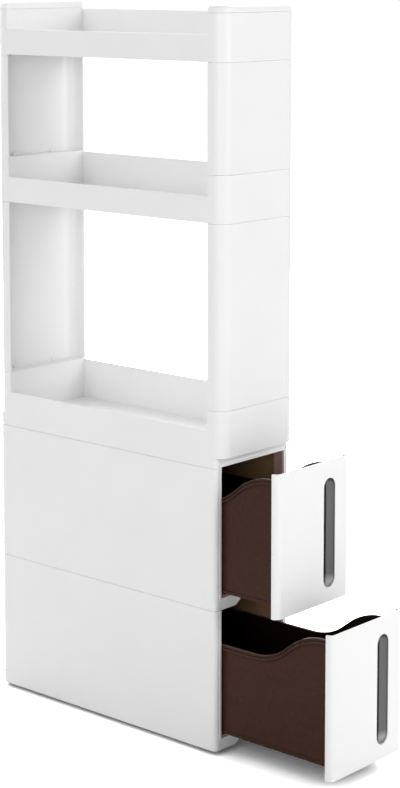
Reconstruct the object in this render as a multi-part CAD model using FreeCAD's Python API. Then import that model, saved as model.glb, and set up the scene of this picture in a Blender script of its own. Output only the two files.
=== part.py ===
"""Slim rolling storage cart: two drawer modules, three shelf trays and four fixed rollers.

Millimetres, +Z up, drawers open toward -Y. The origin is on the floor, under the centre of the
cart's box with both drawers pulled out as far as they rest. Every z level is worked upward from
the floor, and every fit between two pieces is a named clearance.
"""
import FreeCAD
import Part
import math
import os

# Overall shape
WIDTH = 160.0
DEPTH = 450.0
SHELL_WALL = 2.5
UPRIGHT_CORNER_RADIUS = 20.0
UPRIGHT_DEPTH = 27.5
SEAM_ROUNDING = 0.7
SEAM_GAP = 0.5
SEAM_DEPTH = 1.5

# Heights of the stacked modules
FLOOR_GAP = 6.0
CASING_HEIGHT = 202.0
SKIRT_HEIGHT = 14.5
TRAY_HEIGHT = 67.0
LOWER_UPRIGHT_HEIGHT = 259.0
UPPER_UPRIGHT_HEIGHT = 153.0
CAP_HEIGHT = 10.5

# Shelf trays
TRAY_UNDERSIDE_RECESS = 3.0
TRAY_FLOOR_THICKNESS = 2.5
TRAY_LOW_RIM_HEIGHT = 37.5
TRAY_TALL_RIM_DROP = 1.4
RIM_ROUNDING = 1.0
CAP_ROUNDING = 8.0
CAP_BASIN_ROUNDING = 3.0

# Drawer casings
CASING_FRONT_SETBACK = 11.5
CASING_FRONT_RADIUS = 8.0
CASING_REAR_RADIUS = 14.0
CASING_FRONT_WALL = 3.0
OPENING_SIDE_MARGIN = 12.0
OPENING_HEAD_NOTCH = 1.5
LIP_WIDTH = 3.4
LIP_PROUD = 0.6
LIP_GROOVE_WIDTH = 1.8
LIP_GROOVE_DEPTH = 1.4
SILL_HEIGHT = 17.0
DECK_THICKNESS = 2.0
DECK_RIB_HEIGHT = 9.0
DECK_RIB_THICKNESS = 1.8
DECK_RIB_PLACES = (-100.0, 0.0, 100.0)
SPACER_RIB_THICKNESS = 2.0
SPACER_RIB_PLACES = (-140.0, 0.0, 140.0)
REAR_SPACER_PLACE = 40.0
ARCH_HEIGHT = 12.0
ARCH_CROWN_HALF_WIDTH = 20.0
ARCH_TOE_HALF_WIDTH = 37.0

# Snap tongues that join the stacked modules
TONGUE_WIDTH = 20.0
TONGUE_THICKNESS = 2.0
TONGUE_LENGTH = 8.0
TONGUE_ROOT = 4.0
TONGUE_CLEARANCE = 0.2
UPRIGHT_TONGUE_PLACE = 40.0
CASING_TONGUE_PLACE = 120.0

# Drawer liners
LINER_WALL = 2.2
LINER_FLOOR = 2.0
LINER_SIDE_GAP = 5.3
LINER_TOP_GAP = 2.0
LINER_FRONT_GAP = 0.2
LINER_REAR_GAP = 4.5
LINER_REAR_RADIUS = 6.0
LINER_SPACER_CLEARANCE = 0.2
STRIP_SET_OUT = 0.5
STRIP_WIDTH = 10.6
RIDGE_WIDTH = 3.7
RIDGE_HEIGHT = 0.8
STRIP_GROOVE_WIDTH = 2.4
STRIP_GROOVE_DEPTH = 0.9
GLIDE_RAIL_MARGIN = 11.5
GLIDE_RAIL_WIDTH = 6.0
GLIDE_RAIL_END_GAP = 6.0
GLIDE_CLEARANCE = 0.3

# Drawer travel
DRAWER_TRAVEL = 300.0
UPPER_DRAWER_OUT = 99.0
LOWER_DRAWER_OUT = 193.0
STOP_PLACE = 35.0
STOP_WIDTH = 10.0
STOP_THICKNESS = 4.0
STOP_CLEARANCE = 0.5
STOP_LUG_TOP_GAP = 1.2
STOP_HOOK_BOTTOM_GAP = 1.5
STOP_HOOK_REAR_MARGIN = 16.0

# Drawer bins
BIN_SIDE_GAP = 3.5
BIN_LENGTH = 420.0
BIN_WALL = 2.0
BIN_BOTTOM_HEIGHT = 24.5
BIN_FRONT_RADIUS = 6.0
BIN_REAR_RADIUS = 10.0
BIN_TOP_GAP = 2.0
BIN_HUMP_RISE = 47.5
BIN_PLINTH_HEIGHT = 4.0
BIN_PLINTH_PROUD = 1.0
BIN_LIP_HEIGHT = 8.5
BIN_LIP_PROUD = 2.4
BIN_LIP_ROUNDING = 0.8
BIN_GROOVE_TOP = 3.2
BIN_GROOVE_HEIGHT = 2.0
BIN_GROOVE_DEPTH = 1.6
WAVE_FRONT = 25.0
WAVE_REAR = 146.0
WAVE_ANGLE = 38.0

# Drawer fronts
FRONT_WALL = 3.5
FRONT_CLOSED_GAP = 0.5
FRONT_BOTTOM_HEIGHT = 11.2
FRONT_STACK_GAP = 1.2
FRONT_EDGE_ROUNDING = 0.8
FRONT_BACK_ROUNDING = 1.0
FRONT_SIDE_FLAT = 0.2
FRONT_TO_BIN_GAP = 1.7
SLOT_WIDTH = 25.0
SLOT_CENTRE_MARGIN = 46.0
SLOT_BOTTOM_MARGIN = 20.8
SLOT_TOP_MARGIN = 24.4
SLOT_EDGE_ROUNDING = 0.8

# Pull inserts
INSERT_FACE_RECESS = 0.4
INSERT_CLEARANCE = 0.15
INSERT_WALL = 1.3
INSERT_FLANGE_MARGIN = 3.5
INSERT_FLANGE_CLEARANCE = 0.1
INSERT_POCKET_DEPTH = 14.5
INSERT_BIN_CLEARANCE = 0.4
GRIP_EDGE_OFFSET = -1.0
GRIP_EDGE_DEPTH = 5.8
GRIP_START_DEPTH = 1.5
GRIP_SAG = 0.7
GRIP_PLATE = 1.5
GRIP_UNDERCUT_OFFSET = 8.0

# Screws that hold each front to its bin
SCREW_DIAMETER = 3.4
SCREW_HEAD_DIAMETER = 7.0
SCREW_HEAD_HEIGHT = 2.2
SCREW_SKIN = 1.2
SCREW_CLEARANCE = 0.05
SCREW_BOSS_DIAMETER = 8.0
SCREW_BOTTOM_MARGIN = 45.0
SCREW_TOP_MARGIN = 40.8

# Rollers, their axles and brackets
ROLLER_DIAMETER = 22.0
ROLLER_WIDTH = 12.0
ROLLER_ROUNDING = 1.5
ROLLER_HUB_DIAMETER = 12.0
ROLLER_HUB_RECESS = 1.2
ROLLER_FACE_MARGIN = 3.0
ROLLER_SIDE_MARGIN = 23.0
ROLLER_INSET = 26.0
ROLLER_SIDE_GAP = 0.5
AXLE_DIAMETER = 4.0
AXLE_RUNNING_CLEARANCE = 0.06
AXLE_SEAT_CLEARANCE = 0.05
AXLE_HEAD_DIAMETER = 6.5
AXLE_HEAD_THICKNESS = 1.2
BRACKET_PLATE = 2.0
BRACKET_CHEEK = 2.2
BRACKET_CHEEK_WIDTH = 11.0
BRACKET_LENGTH = 42.0
BRACKET_MARGIN = 3.0
WELL_MARGIN = 2.0
BRACKET_SCREW_DIAMETER = 3.0
BRACKET_SCREW_HEAD_DIAMETER = 6.0
BRACKET_SCREW_HEAD_HEIGHT = 1.8
BRACKET_SCREW_INSET = 4.0
BRACKET_SCREW_TOP_GAP = 0.2

# Worked-out places, in a frame centred on the cart's own depth
HALF_WIDTH = WIDTH / 2
HALF_DEPTH = DEPTH / 2
CASING_FRONT_Y = -HALF_DEPTH + CASING_FRONT_SETBACK
CASING_INNER_X = HALF_WIDTH - SHELL_WALL
CASING_INNER_REAR_Y = HALF_DEPTH - SHELL_WALL
INNER_CORNER_RADIUS = UPRIGHT_CORNER_RADIUS - SHELL_WALL
UPRIGHT_EDGE_Y = HALF_DEPTH - UPRIGHT_DEPTH
OPENING_HALF_WIDTH = HALF_WIDTH - OPENING_SIDE_MARGIN
LINER_FRONT_Y = CASING_FRONT_Y + CASING_FRONT_WALL + LINER_FRONT_GAP
LINER_OUTER_X = CASING_INNER_X - LINER_SIDE_GAP
LINER_HALF_WIDTH = LINER_OUTER_X - LINER_WALL
LINER_REAR_Y = CASING_INNER_REAR_Y - LINER_REAR_GAP
LINER_FLOOR_TOP = SILL_HEIGHT + LINER_FLOOR
FRONT_DEPTH = CASING_FRONT_SETBACK - FRONT_CLOSED_GAP
FRONT_CLOSED_Y = CASING_FRONT_Y - FRONT_CLOSED_GAP - FRONT_DEPTH
FRONT_CORNER_RADIUS = FRONT_DEPTH - FRONT_BACK_ROUNDING - FRONT_SIDE_FLAT
FRONT_HEIGHT = CASING_HEIGHT - FRONT_STACK_GAP
BIN_HALF_WIDTH = OPENING_HALF_WIDTH - BIN_SIDE_GAP
GLIDE_RAIL_PLACE = BIN_HALF_WIDTH - GLIDE_RAIL_MARGIN
BIN_FRONT_DEPTH = FRONT_WALL + FRONT_TO_BIN_GAP
BIN_HUMP_HEIGHT = CASING_HEIGHT - BIN_TOP_GAP - BIN_BOTTOM_HEIGHT
BIN_SIDE_HEIGHT = BIN_HUMP_HEIGHT - BIN_HUMP_RISE
STOP_HOOK_DEPTH = BIN_FRONT_DEPTH + BIN_LENGTH - STOP_HOOK_REAR_MARGIN - STOP_THICKNESS
SCREW_PLACE_X = BIN_HALF_WIDTH - BIN_FRONT_RADIUS - SCREW_HEAD_DIAMETER / 2
SCREW_PLACES_Z = (SCREW_BOTTOM_MARGIN, FRONT_HEIGHT - SCREW_TOP_MARGIN)
SLOT_CENTRE_X = HALF_WIDTH - SLOT_CENTRE_MARGIN
SLOT_LENGTH = FRONT_HEIGHT - SLOT_BOTTOM_MARGIN - SLOT_TOP_MARGIN
SLOT_BOTTOM = FRONT_BOTTOM_HEIGHT + SLOT_BOTTOM_MARGIN
SLOT_CENTRE_Z = SLOT_BOTTOM + SLOT_LENGTH / 2
ROLLER_X = HALF_WIDTH - ROLLER_SIDE_MARGIN
TRAY_FLOOR_TOP = TRAY_UNDERSIDE_RECESS + TRAY_FLOOR_THICKNESS
LOWER_CASING_Z = FLOOR_GAP
UPPER_CASING_Z = LOWER_CASING_Z + CASING_HEIGHT
BOTTOM_TRAY_Z = UPPER_CASING_Z + CASING_HEIGHT + SKIRT_HEIGHT
LOWER_UPRIGHT_Z = BOTTOM_TRAY_Z + TRAY_HEIGHT
MIDDLE_TRAY_Z = LOWER_UPRIGHT_Z + LOWER_UPRIGHT_HEIGHT
UPPER_UPRIGHT_Z = MIDDLE_TRAY_Z + TRAY_HEIGHT
TOP_TRAY_Z = UPPER_UPRIGHT_Z + UPPER_UPRIGHT_HEIGHT
CAP_Z = TOP_TRAY_Z + TRAY_HEIGHT
ORIGIN_SHIFT_Y = -(FRONT_CLOSED_Y - max(UPPER_DRAWER_OUT, LOWER_DRAWER_OUT) + HALF_DEPTH) / 2

# FAR is beyond the whole cart. OVERLAP is how far cutters run past, and joined pieces sink into,
# what they meet. Two places nearer than SAME_PLACE count as one.
FAR = 1000.0
OVERLAP = 1.0
SAME_PLACE = 1e-4
X_AXIS = FreeCAD.Vector(1, 0, 0)
Y_AXIS = FreeCAD.Vector(0, 1, 0)
Z_AXIS = FreeCAD.Vector(0, 0, 1)


def vec(x, y, z=0.0):
    return FreeCAD.Vector(x, y, z)


def box(x_range, y_range, z_range):
    """Box between three pairs of limits."""
    low = vec(x_range[0], y_range[0], z_range[0])
    size = [pair[1] - pair[0] for pair in (x_range, y_range, z_range)]
    return Part.makeBox(size[0], size[1], size[2], low)


def cylinder(radius, length, start, direction):
    return Part.makeCylinder(radius, length, start, direction)


def widened(limits):
    """Limits moved outward by the overlap, for a cutter that runs past both faces."""
    return limits[0] - OVERLAP, limits[1] + OVERLAP


def join(shapes):
    """Fuse shapes into one clean solid."""
    first = shapes[0]
    if len(shapes) == 1:
        return first
    return first.fuse(list(shapes[1:])).removeSplitter()


def mirrored_x(shape):
    return shape.mirror(vec(0, 0), X_AXIS)


def mirrored_y(shape):
    return shape.mirror(vec(0, 0), Y_AXIS)


def plan_wire(half_width, y_front, y_rear, front_radius, rear_radius):
    """Closed outline in plan, symmetric about X = 0, with its own front and rear corner radii."""
    edges = []
    corners = [
        (-1, y_front, front_radius, 1),
        (1, y_front, front_radius, 1),
        (1, y_rear, rear_radius, -1),
        (-1, y_rear, rear_radius, -1),
    ]
    runs = []
    for index, (side, y_edge, radius, inward) in enumerate(corners):
        along_x = vec(side * (half_width - radius), y_edge)
        along_y = vec(side * half_width, y_edge + inward * radius)
        slant = math.sqrt(0.5) * radius
        middle = vec(side * (half_width - radius + slant), y_edge + inward * (radius - slant))
        enters_along_x = index in (1, 3)
        start, end = (along_x, along_y) if enters_along_x else (along_y, along_x)
        runs.append((start, middle, end, radius))
    for index, (start, middle, end, radius) in enumerate(runs):
        if radius > 0:
            edges.append(Part.Arc(start, middle, end).toShape())
        next_start = runs[(index + 1) % len(runs)][0]
        edges.append(Part.LineSegment(end, next_start).toShape())
    return Part.Wire(edges)


def plan_prism(half_width, y_range, z_range, front_radius=0.0, rear_radius=0.0):
    """Upright prism on a plan outline."""
    wire = plan_wire(half_width, y_range[0], y_range[1], front_radius, rear_radius)
    solid = Part.Face(wire).extrude(vec(0, 0, z_range[1] - z_range[0]))
    solid.translate(vec(0, 0, z_range[0]))
    return solid


def edges_at_level(shape, level, keep=None):
    """Edges that lie flat at one z level, filtered by a test on their midpoint."""
    found = []
    for edge in shape.Edges:
        limits = edge.BoundBox
        if abs(limits.ZMin - level) > SAME_PLACE or abs(limits.ZMax - level) > SAME_PLACE:
            continue
        if keep is None or keep(limits.Center):
            found.append(edge)
    return found


def rounded_ends(prism, z_range, radius=SEAM_ROUNDING):
    """Round a prism's bottom and top edges, which leaves a fine seam between stacked pieces."""
    edges = edges_at_level(prism, z_range[0]) + edges_at_level(prism, z_range[1])
    return prism.makeFillet(radius, edges)


def module_block(half_width, y_range, z_range, front_radius, rear_radius=0.0):
    """Outer block of a stacked module, with soft ends and a narrow step round its top.

    What stands on it leaves a fine dark seam over the step.
    """
    shoulder = z_range[1] - SEAM_GAP
    block = plan_prism(half_width, y_range, (z_range[0], shoulder), front_radius, rear_radius)
    block = rounded_ends(block, (z_range[0], shoulder))
    land = plan_prism(
        half_width - SEAM_DEPTH,
        (y_range[0] + SEAM_DEPTH, y_range[1] - SEAM_DEPTH),
        (shoulder - OVERLAP, z_range[1]),
        front_radius - SEAM_DEPTH,
        max(rear_radius - SEAM_DEPTH, 0.0),
    )
    return join([block, land])


def stadium_prism(width, length, y_range):
    """Upright stadium around the pull slot's centre line, extruded along Y."""
    radius = width / 2
    top = SLOT_CENTRE_Z + length / 2 - radius
    bottom = SLOT_CENTRE_Z - length / 2 + radius
    left = SLOT_CENTRE_X - radius
    right = SLOT_CENTRE_X + radius
    y = y_range[0]
    edges = [
        Part.LineSegment(vec(right, y, bottom), vec(right, y, top)).toShape(),
        Part.Arc(vec(right, y, top), vec(SLOT_CENTRE_X, y, top + radius), vec(left, y, top)).toShape(),
        Part.LineSegment(vec(left, y, top), vec(left, y, bottom)).toShape(),
        Part.Arc(
            vec(left, y, bottom), vec(SLOT_CENTRE_X, y, bottom - radius), vec(right, y, bottom)
        ).toShape(),
    ]
    return Part.Face(Part.Wire(edges)).extrude(vec(0, y_range[1] - y_range[0]))


def snap_tongues(places, wall_y, level, direction):
    """Pair of tongues on the inner face of a front wall, reaching past a joint level.

    direction is +1 for tongues that reach up and -1 for tongues that reach down.
    """
    tongues = []
    inner_y = wall_y + TONGUE_CLEARANCE + TONGUE_THICKNESS
    for place in places:
        x_range = (place - TONGUE_WIDTH / 2, place + TONGUE_WIDTH / 2)
        root_ends = sorted((level, level - direction * TONGUE_ROOT))
        tongue_ends = sorted((level - direction * TONGUE_ROOT, level + direction * TONGUE_LENGTH))
        root = box(x_range, (wall_y - SHELL_WALL / 2, inner_y), root_ends)
        tongue = box(x_range, (wall_y + TONGUE_CLEARANCE, inner_y), tongue_ends)
        tongues += [root, tongue]
    return tongues


def tongue_slots(level):
    """Slots in the top of a tray's front end block for the tongues of what stands on it."""
    slots = []
    wall_y = -HALF_DEPTH + SHELL_WALL
    half = TONGUE_WIDTH / 2 + TONGUE_CLEARANCE
    y_range = (wall_y, wall_y + TONGUE_THICKNESS + 2 * TONGUE_CLEARANCE)
    for place in (-UPRIGHT_TONGUE_PLACE, UPRIGHT_TONGUE_PLACE):
        slots.append(box((place - half, place + half), y_range, widened((level - SHELL_WALL, level))))
    return slots


def end_block_cavity(base, has_skirt):
    """Hollow under a tray's front end block, open from below."""
    y_front = -HALF_DEPTH + SHELL_WALL
    y_rear = -UPRIGHT_EDGE_Y - SHELL_WALL
    z_range = (base - OVERLAP, base + TRAY_HEIGHT - SHELL_WALL)
    cavity = plan_prism(CASING_INNER_X, (y_front, y_rear), z_range, INNER_CORNER_RADIUS, 0.0)
    if has_skirt:
        front_edge = CASING_FRONT_Y + SHELL_WALL
        kept_z = (base - 2 * OVERLAP, base + SHELL_WALL)
        cavity = cavity.cut(box((-FAR, FAR), (-FAR, front_edge), kept_z))
    return cavity


def tray_skirt(base):
    """Skirt under the lowest tray, flush with the casing, with the head of the drawer opening."""
    z_range = (base - SKIRT_HEIGHT, base + TRAY_UNDERSIDE_RECESS)
    outer = plan_prism(
        HALF_WIDTH, (CASING_FRONT_Y, HALF_DEPTH), z_range, CASING_FRONT_RADIUS, CASING_REAR_RADIUS
    )
    outer = outer.makeFillet(SEAM_ROUNDING, edges_at_level(outer, z_range[0]))
    inner = plan_prism(
        CASING_INNER_X,
        (CASING_FRONT_Y + SHELL_WALL, CASING_INNER_REAR_Y),
        widened(z_range),
        CASING_FRONT_RADIUS - SHELL_WALL,
        CASING_REAR_RADIUS - SHELL_WALL,
    )
    head = z_range[0] + OPENING_HEAD_NOTCH
    lip_x = OPENING_HALF_WIDTH + LIP_WIDTH
    lip_top = head + LIP_WIDTH
    lip_y = (CASING_FRONT_Y - LIP_PROUD, CASING_FRONT_Y + SHELL_WALL)
    lip = box((-lip_x, lip_x), lip_y, (z_range[0], lip_top))
    groove_x = lip_x + LIP_GROOVE_WIDTH
    groove_y = (CASING_FRONT_Y - OVERLAP, CASING_FRONT_Y + LIP_GROOVE_DEPTH)
    groove_z = (z_range[0] - OVERLAP, lip_top + LIP_GROOVE_WIDTH)
    groove = box((-groove_x, groove_x), groove_y, groove_z)
    opening_z = (z_range[0] - OVERLAP, head)
    opening = box((-OPENING_HALF_WIDTH, OPENING_HALF_WIDTH), widened(lip_y), opening_z)
    return join([outer.cut([inner, groove]), lip]).cut(opening)


def tray(base, has_skirt=False, capped=False):
    """Shelf tray: a basin with one low and one tall long rim, and a hollow block at each end."""
    top = base + TRAY_HEIGHT
    z_range = (base, top)
    radius = UPRIGHT_CORNER_RADIUS
    body = module_block(HALF_WIDTH, (-HALF_DEPTH, HALF_DEPTH), z_range, radius, radius)
    basin_y = (-UPRIGHT_EDGE_Y, UPRIGHT_EDGE_Y)
    inner_x = (-CASING_INNER_X, CASING_INNER_X)
    low_rim_top = base + TRAY_LOW_RIM_HEIGHT
    tall_rim_top = top - TRAY_TALL_RIM_DROP
    body = body.cut([
        box(inner_x, basin_y, (base + TRAY_FLOOR_TOP, top + OVERLAP)),
        box((-FAR, 0), basin_y, (low_rim_top, top + OVERLAP)),
        box((0, FAR), basin_y, (tall_rim_top, top + OVERLAP)),
        box(inner_x, basin_y, (base - OVERLAP, base + TRAY_UNDERSIDE_RECESS)),
    ])
    if capped:
        step_y = (-UPRIGHT_EDGE_Y - SEAM_DEPTH, UPRIGHT_EDGE_Y + SEAM_DEPTH)
        body = body.cut(box((-FAR, FAR), step_y, (top - SEAM_GAP, top + OVERLAP)))

    def on_rim(point):
        return abs(point.y) < OVERLAP and abs(point.x) > CASING_INNER_X - OVERLAP

    rim_edges = edges_at_level(body, low_rim_top, on_rim) + edges_at_level(body, tall_rim_top, on_rim)
    body = body.makeFillet(RIM_ROUNDING, rim_edges)
    if has_skirt:
        body = join([body, tray_skirt(base)])
    front_cavity = end_block_cavity(base, has_skirt)
    rear_cavity = mirrored_y(end_block_cavity(base, False))
    slots = tongue_slots(top)
    rear_slots = [mirrored_y(slot) for slot in slots]
    return body.cut([front_cavity, rear_cavity] + slots + rear_slots)


def upright(base, height):
    """Front upright: a thin wall that wraps round both corners and opens toward the shelf."""
    z_range = (base, base + height)
    outer = module_block(HALF_WIDTH, (-HALF_DEPTH, 0), z_range, UPRIGHT_CORNER_RADIUS)
    inner = plan_prism(
        CASING_INNER_X, (-HALF_DEPTH + SHELL_WALL, FAR), widened(z_range), INNER_CORNER_RADIUS
    )
    shelf_side = box((-FAR, FAR), (-UPRIGHT_EDGE_Y, FAR), widened(z_range))
    wall = outer.cut([inner, shelf_side])
    places = (-UPRIGHT_TONGUE_PLACE, UPRIGHT_TONGUE_PLACE)
    inner_y = -HALF_DEPTH + SHELL_WALL
    lower = snap_tongues(places, inner_y, base, -1)
    upper = snap_tongues(places, inner_y, base + height, 1)
    return join([wall] + lower + upper)


def top_cap():
    """Front top cap: a shallow lid with a soft outer edge, hollow from below."""
    z_range = (CAP_Z, CAP_Z + CAP_HEIGHT)
    y_range = (-HALF_DEPTH, -UPRIGHT_EDGE_Y)
    outer = plan_prism(HALF_WIDTH, y_range, z_range, UPRIGHT_CORNER_RADIUS)

    def on_outside(point):
        return point.y < y_range[1] - SHELL_WALL - OVERLAP

    def on_basin_side(point):
        return point.y > y_range[1] - CAP_BASIN_ROUNDING

    outer = outer.makeFillet(CAP_ROUNDING, edges_at_level(outer, z_range[1], on_outside))
    outer = outer.makeFillet(CAP_BASIN_ROUNDING, edges_at_level(outer, z_range[1], on_basin_side))
    outer = outer.makeFillet(SEAM_ROUNDING, edges_at_level(outer, z_range[0], on_outside))
    cavity_top = z_range[1] - SHELL_WALL
    cavity = plan_prism(
        CASING_INNER_X,
        (y_range[0] + SHELL_WALL, y_range[1] - SHELL_WALL),
        (CAP_Z - OVERLAP, cavity_top),
        INNER_CORNER_RADIUS,
    )
    cavity = cavity.makeFillet(CAP_ROUNDING - SHELL_WALL, edges_at_level(cavity, cavity_top, on_outside))
    lid = outer.cut(cavity)
    places = (-UPRIGHT_TONGUE_PLACE, UPRIGHT_TONGUE_PLACE)
    tongues = snap_tongues(places, -HALF_DEPTH + SHELL_WALL, CAP_Z, -1)
    return join([lid] + tongues)


def arch_cut(base):
    """Opening under the sill of a casing's front wall, between its two legs."""
    toe = ARCH_TOE_HALF_WIDTH
    crown = ARCH_CROWN_HALF_WIDTH
    front_y, rear_y = widened((CASING_FRONT_Y, CASING_FRONT_Y + CASING_FRONT_WALL))
    left = [
        (-toe, base - OVERLAP),
        (-toe, base),
        (-crown, base + ARCH_HEIGHT),
    ]
    points = [vec(x, front_y, z) for x, z in left]
    points += [vec(-x, front_y, z) for x, z in reversed(left)]
    wire = Part.makePolygon(points + points[:1])
    return Part.Face(wire).extrude(vec(0, rear_y - front_y))


def casing_shell(base):
    """Outer walls of a drawer casing, with the front opening, its raised lip and its arch."""
    z_range = (base, base + CASING_HEIGHT)
    outer = module_block(
        HALF_WIDTH, (CASING_FRONT_Y, HALF_DEPTH), z_range, CASING_FRONT_RADIUS, CASING_REAR_RADIUS
    )
    inner = plan_prism(
        CASING_INNER_X,
        (CASING_FRONT_Y + CASING_FRONT_WALL, CASING_INNER_REAR_Y),
        widened(z_range),
        CASING_FRONT_RADIUS - CASING_FRONT_WALL,
        CASING_REAR_RADIUS - SHELL_WALL,
    )
    lip_x = OPENING_HALF_WIDTH + LIP_WIDTH
    lip_y = (CASING_FRONT_Y - LIP_PROUD, CASING_FRONT_Y + CASING_FRONT_WALL)
    lip_z = (base + SILL_HEIGHT - LIP_WIDTH, z_range[1] - SEAM_GAP)
    groove_y = (CASING_FRONT_Y - OVERLAP, CASING_FRONT_Y + LIP_GROOVE_DEPTH)
    groove = box((lip_x, lip_x + LIP_GROOVE_WIDTH), groove_y, (lip_z[0], z_range[1] + OVERLAP))
    walls = outer.cut([inner, groove, mirrored_x(groove), arch_cut(base)])
    lip = box((-lip_x, lip_x), lip_y, lip_z)
    opening_x = (-OPENING_HALF_WIDTH, OPENING_HALF_WIDTH)
    opening = box(opening_x, widened(lip_y), (base + SILL_HEIGHT, z_range[1] + OVERLAP))
    return join([walls, lip]).cut(opening)


def bracket_screw_places():
    """Front right bracket screw centres in plan."""
    reach = BRACKET_LENGTH / 2 - BRACKET_SCREW_INSET
    roller_y = CASING_FRONT_Y + ROLLER_INSET
    return [(ROLLER_X, roller_y - reach), (ROLLER_X, roller_y + reach)]


def casing_deck(base):
    """Deck inside a casing, with ribs below it, a well over each roller and its screw holes."""
    z_range = (base + SILL_HEIGHT - DECK_THICKNESS, base + SILL_HEIGHT)
    y_range = widened((CASING_FRONT_Y + CASING_FRONT_WALL, CASING_INNER_REAR_Y))
    reach = CASING_INNER_X + OVERLAP
    pieces = [box((-reach, reach), y_range, z_range)]
    for place in DECK_RIB_PLACES:
        rib_y = (place - DECK_RIB_THICKNESS / 2, place + DECK_RIB_THICKNESS / 2)
        pieces.append(box((-reach, reach), rib_y, (z_range[0] - DECK_RIB_HEIGHT, z_range[1])))
    deck = join(pieces)
    well_x = ROLLER_WIDTH / 2 + WELL_MARGIN
    well_y = ROLLER_DIAMETER / 2 + WELL_MARGIN
    cut_z = widened(z_range)
    roller_y = CASING_FRONT_Y + ROLLER_INSET
    cutters = [
        box((ROLLER_X - well_x, ROLLER_X + well_x), (roller_y - well_y, roller_y + well_y), cut_z)
    ]
    hole_radius = BRACKET_SCREW_DIAMETER / 2 + SCREW_CLEARANCE
    for x, y in bracket_screw_places():
        cutters.append(cylinder(hole_radius, cut_z[1] - cut_z[0], vec(x, y, cut_z[0]), Z_AXIS))
    return deck.cut([moved for cutter in cutters for moved in at_four_corners(cutter)])


def at_four_corners(shape):
    """Copies of a front right piece at all four corners of a casing's deck."""
    middle = (CASING_FRONT_Y + HALF_DEPTH) / 2
    left = mirrored_x(shape)
    copies = [shape, left]
    for side in (shape, left):
        copies.append(side.mirror(vec(0, middle), Y_AXIS))
    return copies


def casing_ribs(base):
    """Ribs inside a casing's walls that centre the liner."""
    z_range = (base + SILL_HEIGHT - OVERLAP, base + CASING_HEIGHT - LINER_TOP_GAP)
    inner_x = LINER_OUTER_X + LINER_SPACER_CLEARANCE
    ribs = []
    for place in SPACER_RIB_PLACES:
        y_range = (place - SPACER_RIB_THICKNESS / 2, place + SPACER_RIB_THICKNESS / 2)
        rib = box((inner_x, CASING_INNER_X + OVERLAP), y_range, z_range)
        ribs += [rib, mirrored_x(rib)]
    half = SPACER_RIB_THICKNESS / 2
    x_range = (REAR_SPACER_PLACE - half, REAR_SPACER_PLACE + half)
    y_range = (LINER_REAR_Y + LINER_SPACER_CLEARANCE, CASING_INNER_REAR_Y + OVERLAP)
    rear_rib = box(x_range, y_range, z_range)
    return ribs + [rear_rib, mirrored_x(rear_rib)]


def casing_tongues(base):
    """Tongues on a casing's long walls that reach up into the module it carries."""
    level = base + CASING_HEIGHT
    outer_x = CASING_INNER_X - TONGUE_CLEARANCE
    inner_x = outer_x - TONGUE_THICKNESS
    tongues = []
    for place in (-CASING_TONGUE_PLACE, CASING_TONGUE_PLACE):
        y_range = (place - TONGUE_WIDTH / 2, place + TONGUE_WIDTH / 2)
        root_z = (level - TONGUE_ROOT - OVERLAP, level - SEAM_GAP - OVERLAP)
        root = box((inner_x, CASING_INNER_X + OVERLAP), y_range, root_z)
        tongue = box((inner_x, outer_x), y_range, (level - TONGUE_ROOT, level + TONGUE_LENGTH))
        for piece in (root, tongue):
            tongues += [piece, mirrored_x(piece)]
    return tongues


def casing(base):
    """Drawer casing: walls, deck, liner ribs and the tongues for the next module."""
    return join([casing_shell(base), casing_deck(base)] + casing_ribs(base) + casing_tongues(base))


def liner_cavity_wire(level):
    """Plan outline of the space inside a liner, with its front strips, ridges and grooves."""
    strip_x = OPENING_HALF_WIDTH + STRIP_SET_OUT
    ridge_x = strip_x - RIDGE_HEIGHT
    groove_x = LINER_HALF_WIDTH + STRIP_GROOVE_DEPTH
    ridge_y = LINER_FRONT_Y + STRIP_WIDTH
    groove_y = ridge_y + RIDGE_WIDTH
    wall_y = groove_y + STRIP_GROOVE_WIDTH
    rear_y = LINER_REAR_Y - LINER_WALL
    radius = LINER_REAR_RADIUS - LINER_WALL
    right = [
        (strip_x, LINER_FRONT_Y - OVERLAP),
        (strip_x, ridge_y),
        (ridge_x, ridge_y),
        (ridge_x, groove_y),
        (groove_x, groove_y),
        (groove_x, wall_y),
        (LINER_HALF_WIDTH, wall_y),
        (LINER_HALF_WIDTH, rear_y - radius),
    ]
    slant = math.sqrt(0.5) * radius
    centre_x = LINER_HALF_WIDTH - radius
    right_points = [vec(x, y, level) for x, y in right]
    left_points = [vec(-x, y, level) for x, y in reversed(right)]
    right_rear = vec(centre_x, rear_y, level)
    left_rear = vec(-centre_x, rear_y, level)
    right_middle = vec(centre_x + slant, rear_y - radius + slant, level)
    left_middle = vec(-centre_x - slant, rear_y - radius + slant, level)
    edges = Part.makePolygon(right_points).Edges
    edges.append(Part.Arc(right_points[-1], right_middle, right_rear).toShape())
    edges.append(Part.LineSegment(right_rear, left_rear).toShape())
    edges.append(Part.Arc(left_rear, left_middle, left_points[0]).toShape())
    edges += Part.makePolygon(left_points).Edges
    edges.append(Part.LineSegment(left_points[-1], right_points[0]).toShape())
    return Part.Wire(edges)


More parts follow.
